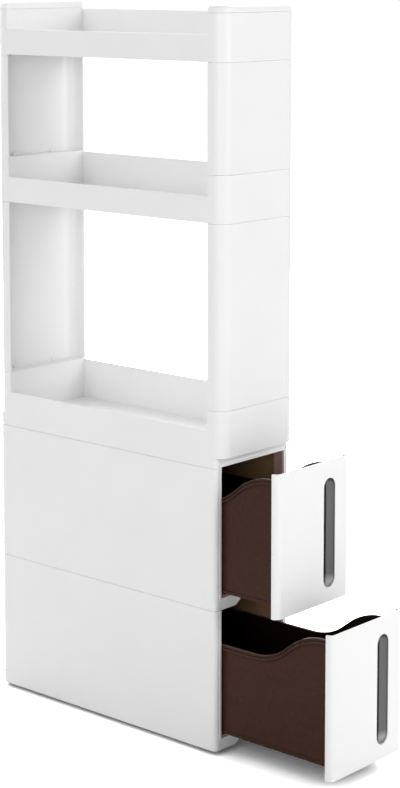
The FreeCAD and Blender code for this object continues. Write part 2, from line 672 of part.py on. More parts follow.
def liner(base):
    """Brown liner: an open-front box with glide rails and drawer stops on its floor."""
    z_range = (base + SILL_HEIGHT, base + CASING_HEIGHT - LINER_TOP_GAP)
    floor_top = base + LINER_FLOOR_TOP
    outer = plan_prism(
        LINER_OUTER_X, (LINER_FRONT_Y, LINER_REAR_Y), z_range, 0.0, LINER_REAR_RADIUS
    )
    cavity = Part.Face(liner_cavity_wire(floor_top)).extrude(vec(0, 0, CASING_HEIGHT))
    shell = outer.cut(cavity)
    rail_top = base + BIN_BOTTOM_HEIGHT - GLIDE_CLEARANCE
    half = GLIDE_RAIL_WIDTH / 2
    rail = box(
        (GLIDE_RAIL_PLACE - half, GLIDE_RAIL_PLACE + half),
        (LINER_FRONT_Y + GLIDE_RAIL_END_GAP, LINER_REAR_Y - LINER_WALL - GLIDE_RAIL_END_GAP),
        (floor_top - LINER_FLOOR / 2, rail_top),
    )
    lug_rear = FRONT_CLOSED_Y + STOP_HOOK_DEPTH - DRAWER_TRAVEL - STOP_CLEARANCE
    lug = box(
        (STOP_PLACE - STOP_WIDTH / 2, STOP_PLACE + STOP_WIDTH / 2),
        (lug_rear - STOP_THICKNESS, lug_rear),
        (floor_top - LINER_FLOOR / 2, base + BIN_BOTTOM_HEIGHT - STOP_LUG_TOP_GAP),
    )
    return join([shell, rail, mirrored_x(rail), lug, mirrored_x(lug)])


def wave_region(base, front_y, drop=0.0):
    """Everything below a bin's wavy top line, lowered by drop.

    The line is level in front and behind, with a straight slope between two equal arcs.
    """
    low = base + BIN_BOTTOM_HEIGHT - OVERLAP
    side_top = base + BIN_BOTTOM_HEIGHT + BIN_SIDE_HEIGHT - drop
    hump_top = base + BIN_BOTTOM_HEIGHT + BIN_HUMP_HEIGHT - drop
    angle = math.radians(WAVE_ANGLE)
    rise = BIN_HUMP_HEIGHT - BIN_SIDE_HEIGHT
    run = WAVE_REAR - WAVE_FRONT
    radius = (run * math.sin(angle) - rise * math.cos(angle)) / (2 * (1 - math.cos(angle)))
    x = -WIDTH

    def on_arc(share, end_y, end_z, sense):
        along = radius * math.sin(share * angle)
        away = radius * (1 - math.cos(share * angle))
        return vec(x, end_y - sense * along, end_z + sense * away)

    rear_y = front_y + WAVE_REAR
    hump_y = front_y + WAVE_FRONT
    low_arc = [on_arc(share, rear_y, side_top, 1) for share in (0, 0.5, 1)]
    high_arc = [on_arc(share, hump_y, hump_top, -1) for share in (1, 0.5, 0)]
    rear_end = vec(x, front_y + FAR, side_top)
    front_end = vec(x, front_y - OVERLAP, hump_top)
    outline = [
        Part.LineSegment(rear_end, low_arc[0]).toShape(),
        Part.Arc(low_arc[0], low_arc[1], low_arc[2]).toShape(),
        Part.LineSegment(low_arc[2], high_arc[0]).toShape(),
        Part.Arc(high_arc[0], high_arc[1], high_arc[2]).toShape(),
        Part.LineSegment(high_arc[2], front_end).toShape(),
    ]
    below = [front_end, vec(x, front_y - OVERLAP, low), vec(x, front_y + FAR, low), rear_end]
    outline += Part.makePolygon(below).Edges
    return Part.Face(Part.Wire(outline)).extrude(vec(2 * WIDTH, 0))


def screw_places(base):
    """Centres of the four screws of one drawer front, as (x, z)."""
    bottom = base + FRONT_BOTTOM_HEIGHT
    return [(x, bottom + z) for x in (-SCREW_PLACE_X, SCREW_PLACE_X) for z in SCREW_PLACES_Z]


def bin_trim(y_range, z_range, proud):
    """Block that stands a little proud of a bin's sides and back, behind its front corners."""
    trim_y = (y_range[0] + BIN_FRONT_RADIUS, y_range[1] + proud)
    return plan_prism(BIN_HALF_WIDTH + proud, trim_y, z_range, 0.0, BIN_REAR_RADIUS + proud)


def lip_band(block, base, front_y, drops):
    """Part of a block between two depths below a bin's wavy top line."""
    return block.common(wave_region(base, front_y, drops[0])).cut(wave_region(base, front_y, drops[1]))


def rounded_bead(bead):
    """Round the outer edges of a bead of a bin's lip, all but its cut front end."""
    front_end = bead.BoundBox.YMin + BIN_LIP_PROUD

    def is_outer(limits):
        upright_edge = limits.XLength + limits.YLength < BIN_LIP_PROUD
        return limits.YMax > front_end and not upright_edge

    return bead.makeFillet(BIN_LIP_ROUNDING, [edge for edge in bead.Edges if is_outer(edge.BoundBox)])


def grooved_lip(base, front_y, y_range, z_range):
    """Proud lip under a bin's wavy top line: two rounded beads with a groove between them."""
    groove_end = BIN_GROOVE_TOP + BIN_GROOVE_HEIGHT
    proud_block = bin_trim(y_range, z_range, BIN_LIP_PROUD)
    core_block = bin_trim(y_range, z_range, BIN_LIP_PROUD - BIN_GROOVE_DEPTH)
    upper = rounded_bead(lip_band(proud_block, base, front_y, (0.0, BIN_GROOVE_TOP)))
    lower = rounded_bead(lip_band(proud_block, base, front_y, (groove_end, BIN_LIP_HEIGHT)))
    core = lip_band(core_block, base, front_y, (BIN_LIP_ROUNDING, BIN_LIP_HEIGHT - BIN_LIP_ROUNDING))
    return [upper, lower, core]


def drawer_bin(base, front_y):
    """Brown bin: tall at the front, lower behind, with a proud rounded lip and a shallow plinth."""
    bottom = base + BIN_BOTTOM_HEIGHT
    top = bottom + BIN_HUMP_HEIGHT + OVERLAP
    y_range = (front_y + BIN_FRONT_DEPTH, front_y + BIN_FRONT_DEPTH + BIN_LENGTH)
    outer = plan_prism(BIN_HALF_WIDTH, y_range, (bottom, top), BIN_FRONT_RADIUS, BIN_REAR_RADIUS)
    cavity = plan_prism(
        BIN_HALF_WIDTH - BIN_WALL,
        (y_range[0] + BIN_WALL, y_range[1] - BIN_WALL),
        (bottom + BIN_WALL, top + OVERLAP),
        BIN_FRONT_RADIUS - BIN_WALL,
        BIN_REAR_RADIUS - BIN_WALL,
    )
    walls = outer.common(wave_region(base, front_y))
    lip = grooved_lip(base, front_y, y_range, (bottom, top))
    plinth = bin_trim(y_range, (bottom, bottom + BIN_PLINTH_HEIGHT), BIN_PLINTH_PROUD)
    shell = join([walls, *lip, plinth]).cut(cavity)
    hook = box(
        (STOP_PLACE - STOP_WIDTH / 2, STOP_PLACE + STOP_WIDTH / 2),
        (front_y + STOP_HOOK_DEPTH, front_y + STOP_HOOK_DEPTH + STOP_THICKNESS),
        (base + LINER_FLOOR_TOP + STOP_HOOK_BOTTOM_GAP, bottom + BIN_WALL / 2),
    )
    shell = join([shell, hook, mirrored_x(hook)])
    hole_y = widened((y_range[0], y_range[0] + BIN_WALL))
    pull_width = SLOT_WIDTH - 2 * INSERT_CLEARANCE + 2 * INSERT_BIN_CLEARANCE
    pull_length = SLOT_LENGTH - 2 * INSERT_CLEARANCE + 2 * INSERT_BIN_CLEARANCE
    pull_hole = stadium_prism(pull_width, pull_length, hole_y)
    pull_hole.translate(vec(0, 0, base))
    cutters = [pull_hole]
    radius = SCREW_DIAMETER / 2 + SCREW_CLEARANCE
    for x, z in screw_places(base):
        cutters.append(cylinder(radius, hole_y[1] - hole_y[0], vec(x, hole_y[0], z), Y_AXIS))
    return shell.cut(cutters)


def drawer_front(base, front_y):
    """White drawer front: a tall plate with rounded sides, a pull slot and four screw bosses."""
    z_range = (base + FRONT_BOTTOM_HEIGHT, base + FRONT_BOTTOM_HEIGHT + FRONT_HEIGHT)
    y_range = (front_y, front_y + FRONT_DEPTH)
    outer = plan_prism(HALF_WIDTH, y_range, z_range, FRONT_CORNER_RADIUS, FRONT_BACK_ROUNDING)
    outer = rounded_ends(outer, z_range, FRONT_EDGE_ROUNDING)
    inner = plan_prism(
        HALF_WIDTH - FRONT_WALL,
        (front_y + FRONT_WALL, y_range[1] + OVERLAP),
        widened(z_range),
        FRONT_CORNER_RADIUS - FRONT_WALL,
    )
    plate = outer.cut(inner)
    slot = stadium_prism(SLOT_WIDTH, SLOT_LENGTH, widened((front_y, front_y + FRONT_WALL)))
    slot.translate(vec(0, 0, base))
    plate = plate.cut(slot)

    def on_slot(edge):
        limits = edge.BoundBox
        at_face = abs(limits.YMin - front_y) < SAME_PLACE and abs(limits.YMax - front_y) < SAME_PLACE
        near_x = abs(limits.Center.x - SLOT_CENTRE_X) < SLOT_WIDTH / 2 + OVERLAP
        inside = limits.ZMin > z_range[0] + SLOT_BOTTOM_MARGIN / 2
        return at_face and near_x and inside and limits.ZMax < z_range[1] - SLOT_BOTTOM_MARGIN / 2

    plate = plate.makeFillet(SLOT_EDGE_ROUNDING, [edge for edge in plate.Edges if on_slot(edge)])
    bosses = []
    holes = []
    boss_length = FRONT_TO_BIN_GAP + FRONT_WALL / 2
    for x, z in screw_places(base):
        boss_start = vec(x, front_y + FRONT_WALL / 2, z)
        bosses.append(cylinder(SCREW_BOSS_DIAMETER / 2, boss_length, boss_start, Y_AXIS))
        hole_start = vec(x, front_y + SCREW_SKIN, z)
        hole_radius = SCREW_DIAMETER / 2 + SCREW_CLEARANCE
        holes.append(cylinder(hole_radius, BIN_FRONT_DEPTH, hole_start, Y_AXIS))
    return join([plate] + bosses).cut(holes)


def front_screws(base, front_y):
    """Four screws driven from inside a bin into its front."""
    screws = []
    tip_y = front_y + SCREW_SKIN + SCREW_HEAD_HEIGHT / 2
    seat_y = front_y + BIN_FRONT_DEPTH + BIN_WALL
    rim_y = seat_y + SCREW_HEAD_HEIGHT
    for x, z in screw_places(base):
        shank = cylinder(SCREW_DIAMETER / 2, seat_y - tip_y, vec(x, tip_y, z), Y_AXIS)
        head = cylinder(SCREW_HEAD_DIAMETER / 2, SCREW_HEAD_HEIGHT, vec(x, seat_y, z), Y_AXIS)
        rim = [edge for edge in head.Edges if abs(edge.BoundBox.YMin - rim_y) < SAME_PLACE]
        head = head.makeFillet(SCREW_HEAD_HEIGHT / 2, rim)
        screws.append(join([shank, head]))
    return Part.makeCompound(screws)


def pull_pocket(front_y):
    """Space inside a pull: the mouth in front of the grip plate and the hollow behind it."""
    half = SLOT_WIDTH / 2 - INSERT_CLEARANCE - INSERT_WALL
    left = SLOT_CENTRE_X - half
    right = SLOT_CENTRE_X + half
    edge_x = SLOT_CENTRE_X + GRIP_EDGE_OFFSET
    undercut_x = SLOT_CENTRE_X + GRIP_UNDERCUT_OFFSET
    slope = (GRIP_EDGE_DEPTH - GRIP_START_DEPTH) / (right - edge_x)
    undercut_depth = GRIP_EDGE_DEPTH + GRIP_PLATE - slope * (undercut_x - edge_x)
    middle_x = (right + edge_x) / 2
    middle_depth = (GRIP_START_DEPTH + GRIP_EDGE_DEPTH) / 2 + GRIP_SAG

    def point(x, depth):
        return vec(x, front_y + depth, 0.0)

    edge_front = point(edge_x, GRIP_EDGE_DEPTH)
    edge_back = point(edge_x, GRIP_EDGE_DEPTH + GRIP_PLATE)
    corners = [
        point(undercut_x, undercut_depth),
        point(undercut_x, INSERT_POCKET_DEPTH),
        point(left, INSERT_POCKET_DEPTH),
        point(left, -OVERLAP),
        point(right, -OVERLAP),
        point(right, GRIP_START_DEPTH),
    ]
    edges = Part.makePolygon([edge_back] + corners).Edges
    edges.append(Part.Arc(corners[-1], point(middle_x, middle_depth), edge_front).toShape())
    edges.append(Part.LineSegment(edge_front, edge_back).toShape())
    return Part.Face(Part.Wire(edges)).extrude(vec(0, 0, FAR))


def pull_insert(base, front_y):
    """Grey pull: a pocket behind the slot with a slanted grip plate for the fingertips."""
    width = SLOT_WIDTH - 2 * INSERT_CLEARANCE
    length = SLOT_LENGTH - 2 * INSERT_CLEARANCE
    body_y = (front_y + INSERT_FACE_RECESS, front_y + INSERT_POCKET_DEPTH + INSERT_WALL)
    body = stadium_prism(width, length, body_y)
    margin = 2 * INSERT_FLANGE_MARGIN
    flange_y = (
        front_y + FRONT_WALL + INSERT_FLANGE_CLEARANCE,
        front_y + BIN_FRONT_DEPTH - INSERT_FLANGE_CLEARANCE,
    )
    flange = stadium_prism(width + margin, length + margin, flange_y)
    mouth_y = (front_y - 2 * OVERLAP, front_y + INSERT_POCKET_DEPTH)
    mouth = stadium_prism(width - 2 * INSERT_WALL, length - 2 * INSERT_WALL, mouth_y)
    insert = join([body, flange]).cut(mouth.common(pull_pocket(front_y)))
    insert.translate(vec(0, 0, base))
    return insert


def roller():
    """Front right roller with a running bore and recessed faces."""
    radius = ROLLER_DIAMETER / 2
    start = vec(ROLLER_X - ROLLER_WIDTH / 2, CASING_FRONT_Y + ROLLER_INSET, radius)
    wheel = cylinder(radius, ROLLER_WIDTH, start, X_AXIS)
    rims = [edge for edge in wheel.Edges if abs(edge.BoundBox.XLength) < SAME_PLACE]
    wheel = wheel.makeFillet(ROLLER_ROUNDING, rims)
    bore_radius = AXLE_DIAMETER / 2 + AXLE_RUNNING_CLEARANCE
    bore_start = start - X_AXIS * OVERLAP
    cutters = [cylinder(bore_radius, ROLLER_WIDTH + 2 * OVERLAP, bore_start, X_AXIS)]
    for face_x in (start.x - OVERLAP, start.x + ROLLER_WIDTH - ROLLER_HUB_RECESS):
        face = vec(face_x, start.y, start.z)
        ring = cylinder(radius - ROLLER_FACE_MARGIN, ROLLER_HUB_RECESS + OVERLAP, face, X_AXIS)
        hub = cylinder(ROLLER_HUB_DIAMETER / 2, ROLLER_HUB_RECESS + OVERLAP, face, X_AXIS)
        cutters.append(ring.cut(hub))
    return wheel.cut(cutters)


def cheek_limits():
    """X limits of the two cheeks of the front right bracket, inner pair first."""
    inner = ROLLER_WIDTH / 2 + ROLLER_SIDE_GAP
    outer = inner + BRACKET_CHEEK
    return inner, outer


def roller_axle():
    """Front right axle: a plain pin with a small head outside each cheek."""
    inner, outer = cheek_limits()
    centre_y = CASING_FRONT_Y + ROLLER_INSET
    centre_z = ROLLER_DIAMETER / 2
    reach = outer + AXLE_HEAD_THICKNESS
    pin = cylinder(AXLE_DIAMETER / 2, 2 * reach, vec(ROLLER_X - reach, centre_y, centre_z), X_AXIS)
    heads = []
    for head_x in (ROLLER_X - reach, ROLLER_X + outer):
        start = vec(head_x, centre_y, centre_z)
        heads.append(cylinder(AXLE_HEAD_DIAMETER / 2, AXLE_HEAD_THICKNESS, start, X_AXIS))
    return join([pin] + heads)


def roller_bracket():
    """Front right bracket: a plate under the deck with two cheeks that hold the axle."""
    inner, outer = cheek_limits()
    centre_y = CASING_FRONT_Y + ROLLER_INSET
    centre_z = ROLLER_DIAMETER / 2
    top = LOWER_CASING_Z + SILL_HEIGHT - DECK_THICKNESS
    half_length = BRACKET_LENGTH / 2
    half_plate = outer + BRACKET_MARGIN
    plate = box(
        (ROLLER_X - half_plate, ROLLER_X + half_plate),
        (centre_y - half_length, centre_y + half_length),
        (top - BRACKET_PLATE, top),
    )
    well_y = ROLLER_DIAMETER / 2 + WELL_MARGIN
    well = box(
        (ROLLER_X - inner, ROLLER_X + inner),
        (centre_y - well_y, centre_y + well_y),
        widened((top - BRACKET_PLATE, top)),
    )
    pieces = [plate.cut(well)]
    half_cheek = BRACKET_CHEEK_WIDTH / 2
    for low_x in (ROLLER_X - outer, ROLLER_X + inner):
        cheek = box(
            (low_x, low_x + BRACKET_CHEEK),
            (centre_y - half_cheek, centre_y + half_cheek),
            (centre_z, top - BRACKET_PLATE / 2),
        )
        tip = cylinder(half_cheek, BRACKET_CHEEK, vec(low_x, centre_y, centre_z), X_AXIS)
        pieces += [cheek, tip]
    seat_radius = AXLE_DIAMETER / 2 + AXLE_SEAT_CLEARANCE
    seat_x = widened((ROLLER_X - outer, ROLLER_X + outer))
    cutters = [
        cylinder(seat_radius, seat_x[1] - seat_x[0], vec(seat_x[0], centre_y, centre_z), X_AXIS)
    ]
    hole_radius = BRACKET_SCREW_DIAMETER / 2 + SCREW_CLEARANCE
    hole_z = widened((top - BRACKET_PLATE, top))
    for x, y in bracket_screw_places():
        cutters.append(cylinder(hole_radius, hole_z[1] - hole_z[0], vec(x, y, hole_z[0]), Z_AXIS))
    return join(pieces).cut(cutters)


def bracket_screws():
    """Two screws that hold the front right bracket to the deck."""
    plate_bottom = LOWER_CASING_Z + SILL_HEIGHT - DECK_THICKNESS - BRACKET_PLATE
    tip = LOWER_CASING_Z + SILL_HEIGHT - BRACKET_SCREW_TOP_GAP
    head_bottom = plate_bottom - BRACKET_SCREW_HEAD_HEIGHT
    screws = []
    for x, y in bracket_screw_places():
        shank = cylinder(BRACKET_SCREW_DIAMETER / 2, tip - plate_bottom, vec(x, y, plate_bottom), Z_AXIS)
        head = cylinder(
            BRACKET_SCREW_HEAD_DIAMETER / 2, BRACKET_SCREW_HEAD_HEIGHT, vec(x, y, head_bottom), Z_AXIS
        )
        screws.append(join([shank, head]))
    return screws


def stacked_modules():
    """Casings, liners, trays, uprights and caps, by node name."""
    nodes = {
        "lower_casing": casing(LOWER_CASING_Z),
        "upper_casing": casing(UPPER_CASING_Z),
        "lower_liner": liner(LOWER_CASING_Z),
        "upper_liner": liner(UPPER_CASING_Z),
        "bottom_tray": tray(BOTTOM_TRAY_Z, has_skirt=True),
        "middle_tray": tray(MIDDLE_TRAY_Z),
        "top_tray": tray(TOP_TRAY_Z, capped=True),
    }
    uprights = (
        ("lower", LOWER_UPRIGHT_Z, LOWER_UPRIGHT_HEIGHT),
        ("upper", UPPER_UPRIGHT_Z, UPPER_UPRIGHT_HEIGHT),
    )
    for level, base, height in uprights:
        front = upright(base, height)
        nodes[level + "_front_upright"] = front
        nodes[level + "_rear_upright"] = mirrored_y(front)
    cap = top_cap()
    nodes["front_top_cap"] = cap
    nodes["rear_top_cap"] = mirrored_y(cap)
    return nodes


def drawers():
    """Bins, fronts, pulls and screws of both drawers where they rest, by node name."""
    nodes = {}
    rest = (
        ("lower", LOWER_CASING_Z, LOWER_DRAWER_OUT),
        ("upper", UPPER_CASING_Z, UPPER_DRAWER_OUT),
    )
    for level, base, out in rest:
        front_y = FRONT_CLOSED_Y - out
        nodes[level + "_drawer_bin"] = drawer_bin(base, front_y)
        nodes[level + "_drawer_front"] = drawer_front(base, front_y)
        nodes[level + "_pull_insert"] = pull_insert(base, front_y)
        nodes[level + "_front_screws"] = front_screws(base, front_y)
    return nodes


def running_gear():
    """Rollers, axles, brackets and their screws at the four corners, by node name."""
    nodes = {}
    names = ("front_right", "front_left", "rear_right", "rear_left")
    for kind, piece in (("roller", roller()), ("axle", roller_axle()), ("bracket", roller_bracket())):
        for name, copy in zip(names, at_four_corners(piece)):
            nodes[name + "_" + kind] = copy
    screws = []
    for screw in bracket_screws():
        screws += at_four_corners(screw)
    nodes["bracket_screws"] = Part.makeCompound(screws)
    return nodes


def main():
    os.makedirs("parts", exist_ok=True)
    nodes = {}
    for group in (stacked_modules(), drawers(), running_gear()):
        nodes.update(group)
    for name, shape in nodes.items():
        shape.translate(vec(0, ORIGIN_SHIFT_Y))
        if not shape.isValid() or shape.Volume <= 0:
            raise ValueError("bad solid: " + name)
        shape.exportStep("parts/" + name + ".step")
        print(name, len(shape.Solids), round(shape.Volume, 1))


main()
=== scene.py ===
"""Looks of the slim rolling storage cart: finishes, studio light, floor and camera."""
import math

import bpy
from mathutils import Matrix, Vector

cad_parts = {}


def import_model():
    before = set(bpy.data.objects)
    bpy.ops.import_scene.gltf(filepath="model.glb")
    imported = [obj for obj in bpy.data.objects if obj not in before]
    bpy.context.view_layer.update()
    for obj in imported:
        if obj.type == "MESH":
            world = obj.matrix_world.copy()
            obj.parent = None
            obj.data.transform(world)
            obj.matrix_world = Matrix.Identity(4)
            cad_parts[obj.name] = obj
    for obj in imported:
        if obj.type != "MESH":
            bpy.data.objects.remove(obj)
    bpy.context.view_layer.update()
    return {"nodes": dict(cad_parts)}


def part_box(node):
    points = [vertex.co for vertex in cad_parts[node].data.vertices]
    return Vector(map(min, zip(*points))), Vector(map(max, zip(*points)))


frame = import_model()
NODES = frame["nodes"]
TRAY_LOW, TRAY_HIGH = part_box("bottom_tray")
CART_MIDDLE = (Vector(TRAY_LOW) + Vector(TRAY_HIGH)) / 2

# Camera, in metres from the cart's own middle on the floor, and in degrees
CAMERA_PLACE = (-2.1326, -2.0097, 1.0924)
CAMERA_YAW = 48.36
CAMERA_PITCH = 6.14
CAMERA_LENS = 92.35
CAMERA_SHIFT_Y = -0.26
CAMERA_CLIP_END = 100.0
SENSOR_HEIGHT = 36.0

# Lamps, in metres from the same place, each with its azimuth in degrees from straight in front
# and its watts
WORLD_LEVEL = 0.15
LAMP_TARGET_HEIGHT = 0.5
LAMP_RINGS = (
    {
        "name": "high", "distance": 2.6, "height": 3.2, "size": 2.4,
        "lamps": ((-120, 24.0), (100, 58.0), (150, 61.0)),
    },
    {
        "name": "middle", "distance": 3.8, "height": 2.0, "size": 2.4,
        "lamps": ((-90, 31.0), (15, 84.0), (180, 29.0)),
    },
    {
        "name": "low", "distance": 3.8, "height": 0.9, "size": 1.6,
        "lamps": ((-60, 29.0),),
    },
)

# Floor, in metres: its level to the camera, to mirrors and to light that bounces off it
FLOOR_HALF_SIDE = 20.0
# Painted contact shadow: the floor's seen level drops from the open level to the close one where
# other surfaces stand within the reach
FLOOR_SEEN_PAINTED_SHADOW = 0.6
FLOOR_SEEN_OPEN = 3.8
FLOOR_PAINTED_SHADOW_REACH = 0.06
FLOOR_PAINTED_SHADOW_SAMPLES = 16
FLOOR_FADE = (0.9, 3.0)
FLOOR_FAR_GAIN = 3.0
FLOOR_MIRRORED = 1.30
FLOOR_ALBEDO = 0.80

# The whole range of a value that goes from 0 to 1, and the two ways for a mask to go over a range
WHOLE = (0.0, 1.0)
RISING = (0.0, 1.0)
FALLING = (1.0, 0.0)

# Surface of the moulded plastics: noise per metre, part of its range that counts, depth in metres
MOTTLE = {"scale": 9.0, "detail": 3.0}
MOTTLE_RANGE = (0.35, 0.65)
GLOSS = {"scale": 26.0, "detail": 4.0, "roughness": 0.6}
GLOSS_RANGE = (0.3, 0.7)
GRAIN = {"scale": 2600.0, "detail": 2.0, "roughness": 0.7}
GRAIN_DEPTH = 0.00004
WAVE = {"scale": 11.0, "detail": 1.0}
WAVE_DEPTH = 0.0009
PLASTIC_IOR = 1.49

# Each plastic: colour and its darker mottling, roughness and how uneven it is, strength of the
# grain and of the waviness, specular level, and the endings of the CAD nodes that wear it
PLASTICS = {
    "white_shell": {
        "color": (0.90, 0.90, 0.90), "shade": (0.885, 0.885, 0.885),
        "roughness": 0.35, "uneven": 0.06, "grain": 0.25, "wavy": 0.35, "shine": 0.4,
        "worn_by": ("_casing", "_tray", "_upright", "_cap"),
    },
    "white_front": {
        "color": (0.93, 0.93, 0.93), "shade": (0.925, 0.925, 0.925),
        "roughness": 0.30, "uneven": 0.015, "grain": 0.12, "wavy": 0.1, "shine": 0.4,
        "worn_by": ("_drawer_front",),
    },
    "brown_liner": {
        # The liner's colour is lighter than its real brown: painted light standing in for the
        # light that hardly reaches inside the casing
        "color": (0.33, 0.20, 0.105), "shade": (0.30, 0.18, 0.095),
        "roughness": 0.38, "uneven": 0.06, "grain": 0.4, "wavy": 0.35, "shine": 0.2,
        "worn_by": ("_liner",),
    },
    "brown_bin": {
        "color": (0.053, 0.021, 0.0132), "shade": (0.048, 0.019, 0.0118),
        "roughness": 0.28, "uneven": 0.06, "grain": 0.2, "wavy": 0.35, "shine": 0.08,
        "worn_by": ("_drawer_bin",),
    },
    "grey_pull": {
        "color": (0.16, 0.16, 0.16), "shade": (0.14, 0.14, 0.14),
        "roughness": 0.4, "uneven": 0.06, "grain": 0.4, "wavy": 0.35, "shine": 0.15,
        "worn_by": ("_pull_insert",),
    },
    "roller_plastic": {
        "color": (0.09, 0.09, 0.09), "shade": (0.07, 0.07, 0.07),
        "roughness": 0.5, "uneven": 0.06, "grain": 0.6, "wavy": 0.35, "shine": 0.4,
        "worn_by": ("_roller",),
    },
    "bracket_plastic": {
        "color": (0.7, 0.7, 0.7), "shade": (0.66, 0.66, 0.66),
        "roughness": 0.4, "uneven": 0.06, "grain": 0.4, "wavy": 0.35, "shine": 0.4,
        "worn_by": ("_bracket",),
    },
}

# Steel: turning marks per metre, stretched along the pins, and their depth in metres
STEEL_COLOR = (0.62, 0.62, 0.6)
STEEL_SHADE = 0.8
STEEL_ROUGHNESS = 0.3
STEEL_UNEVEN = 0.08
STEEL_WORN_BY = ("_axle", "_screws")
TURNING = {"scale": 400.0, "detail": 3.0, "roughness": 0.5, "stretch": (1.0, 1.0, 8.0)}
TURNING_RANGE = (0.3, 0.7)
TURNING_DEPTH = 0.0001
TURNING_STRENGTH = 0.3

# Painted light and shade on the liners, bins and pulls, placed by shares of the piece's own box,
# by how near other surfaces stand and by which way a face points
# Liner: a pinker strip at the front edge, lighter there as painted light falling in at the
# opening
LINER_LIT_STRIP_END = (0.038, 0.041)
LINER_LIT_STRIP_COLOR = (0.62, 0.38, 0.33)
# Bins: painted shade in grooves and creases, where other surfaces stand within reach
BIN_CREASE_SHADE_REACH = 0.004
BIN_CREASE_SHADE_SAMPLES = 8
BIN_CREASE_SHADE_RANGE = (0.55, 0.95)
BIN_CREASE_SHADE_STRENGTH = 0.8
# Bins: painted highlight on faces that point up, lightest where they face straight up
BIN_TOP_HIGHLIGHT_RANGE = (0.35, 0.9)
BIN_TOP_HIGHLIGHT_COLOR = (0.15, 0.10, 0.085)
# Bins: near-black painted shade over all but the outermost strips of the bin's width, standing in
# for the deep shade inside
BIN_INSIDE_SHADE_END = (0.470, 0.476)
BIN_PAINTED_SHADE_COLOR = (0.012, 0.005, 0.0035)
# Pulls: near-black painted shade in the deep pocket
PULL_POCKET_SHADE_START = (0.40, 0.50)
PULL_PAINTED_SHADE_COLOR = (0.012, 0.012, 0.012)
# Pulls: painted shade along the left rim of the slot
PULL_LEFT_RIM_SHADE = (0.155, 0.165)
# Pulls: painted light on the foot, which faces up towards light from above
PULL_FOOT_LIGHT = (0.07, 0.13)
PULL_FOOT_LIGHT_COLOR = (0.42, 0.42, 0.42)
# Pulls: painted shade at the head, under the slot's top wall
PULL_HEAD_SHADE = (0.935, 0.965)
PULL_HEAD_SHADE_STRENGTH = 0.85


def from_cart(place):
    """Place in the frame, given from the cart's own middle on the floor."""
    return Vector((CART_MIDDLE.x, CART_MIDDLE.y, 0.0)) + Vector(place)


def new_material(name, shader_type="ShaderNodeBsdfPrincipled"):
    """Empty node material with one shader wired to its output."""
    material = bpy.data.materials.new(name)
    material.use_nodes = True
    tree = material.node_tree
    tree.nodes.clear()
    output = tree.nodes.new("ShaderNodeOutputMaterial")
    shader = tree.nodes.new(shader_type)
    tree.links.new(shader.outputs["BSDF"], output.inputs["Surface"])
    return material, tree, shader


def noise(tree, scale, detail, roughness=0.5, stretch=None):
    """Noise in the object's own metres, stretched along an axis if asked."""
    coords = tree.nodes.new("ShaderNodeTexCoord")
    texture = tree.nodes.new("ShaderNodeTexNoise")
    texture.inputs["Scale"].default_value = scale
    texture.inputs["Detail"].default_value = detail
    texture.inputs["Roughness"].default_value = roughness
    source = coords.outputs["Object"]
    if stretch is not None:
        mapping = tree.nodes.new("ShaderNodeMapping")
        mapping.inputs["Scale"].default_value = stretch
        tree.links.new(source, mapping.inputs["Vector"])
        source = mapping.outputs["Vector"]
    tree.links.new(source, texture.inputs["Vector"])
    return texture.outputs["Fac"]


def ramp(tree, value, span, levels):
    """Map a value from one range to another, clamped."""
    node = tree.nodes.new("ShaderNodeMapRange")
    node.inputs["From Min"].default_value, node.inputs["From Max"].default_value = span
    node.inputs["To Min"].default_value, node.inputs["To Max"].default_value = levels
    tree.links.new(value, node.inputs["Value"])
    return node.outputs["Result"]


def blend_colors(tree, factor, first, second):
    """Mix two colours, each three numbers or a socket, by a factor."""
    mix = tree.nodes.new("ShaderNodeMix")
    mix.data_type = "RGBA"
    tree.links.new(factor, mix.inputs["Factor"])
    for color, socket in ((first, mix.inputs["A"]), (second, mix.inputs["B"])):
        if isinstance(color, tuple):
            socket.default_value = (*color, 1.0)
        else:
            tree.links.new(color, socket)
    return mix.outputs["Result"]


def bump(tree, shader, heights):
    """Stack bumps of (height socket, distance in metres, strength) onto one shader."""
    normal = None
    for height, distance, strength in heights:
        node = tree.nodes.new("ShaderNodeBump")
        node.inputs["Distance"].default_value = distance
        node.inputs["Strength"].default_value = strength
        tree.links.new(height, node.inputs["Height"])
        if normal is not None:
            tree.links.new(normal, node.inputs["Normal"])
        normal = node.outputs["Normal"]
    tree.links.new(normal, shader.inputs["Normal"])


def math_node(tree, operation, first, second=0.0):
    """Arithmetic on two values, each a number or a socket."""
    node = tree.nodes.new("ShaderNodeMath")
    node.operation = operation
    for value, socket in ((first, node.inputs[0]), (second, node.inputs[1])):
        if isinstance(value, float):
            socket.default_value = value
        else:
            tree.links.new(value, socket)
    return node.outputs["Value"]


def part_of(tree, vector, axis):
    """One axis of a vector socket."""
    split = tree.nodes.new("ShaderNodeSeparateXYZ")
    tree.links.new(vector, split.inputs["Vector"])
    return split.outputs[axis]


def across(tree, axis):
    """Place along an axis of the object's own box, from 0 to 1."""
    coords = tree.nodes.new("ShaderNodeTexCoord")
    return part_of(tree, coords.outputs["Generated"], axis)


def upward(tree):
    """1 where a surface faces straight up, 0 where it is upright."""
    geometry = tree.nodes.new("ShaderNodeNewGeometry")
    return part_of(tree, geometry.outputs["Normal"], "Z")


def openness(tree, reach, samples, own_piece_only):
    """1 on open faces, less where something is within reach."""
    node = tree.nodes.new("ShaderNodeAmbientOcclusion")
    node.samples = samples
    node.only_local = own_piece_only
    node.inputs["Distance"].default_value = reach
    return node.outputs["AO"]


def overlay(material, mask, color):
    """Lay one more colour over a material's own, where the mask is 1."""
    tree = material.node_tree
    socket = tree.nodes["Principled BSDF"].inputs["Base Color"]
    own = socket.links[0].from_socket
    tree.links.new(blend_colors(tree, mask, own, color), socket)


def overlay_band(material, axis, span, levels, color):
    """Lay a colour over a material, over a span of the object's own box."""
    tree = material.node_tree
    overlay(material, ramp(tree, across(tree, axis), span, levels), color)


